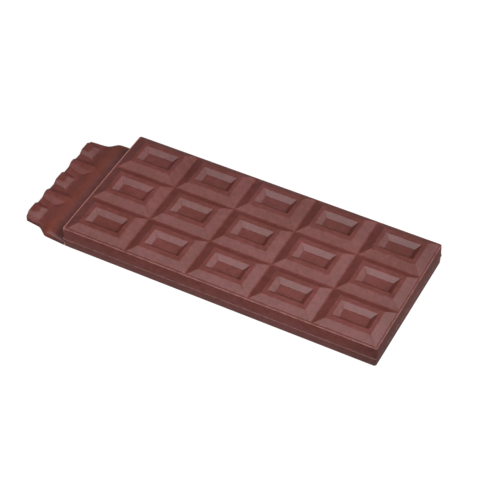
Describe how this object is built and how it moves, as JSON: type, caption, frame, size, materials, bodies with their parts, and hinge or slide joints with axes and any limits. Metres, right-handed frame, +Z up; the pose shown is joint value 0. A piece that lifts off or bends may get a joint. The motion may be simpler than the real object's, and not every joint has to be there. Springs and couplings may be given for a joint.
{
  "type": "toy chocolate bar",
  "caption": "Toy bar of chocolate cast in one piece: a slab of bevelled segments with sunken windows, and the pinched, crimped end of its wrapper.",
  "frame": {"origin": "middle of the rectangle that bounds the bar from above, on the plane it lies on", "axes": "+X along the bar, from the wrapper end to the plain end; +Y across the bar; +Z up, the way the segments face"},
  "size_m": [0.1558, 0.061, 0.0119],
  "materials": {
    "brown": "self-coloured reddish milk-chocolate brown, semi-matt moulded skin"
  },
  "bodies": {
    "root": {"chocolate_bar": "brown"}
  },
  "joints": []
}
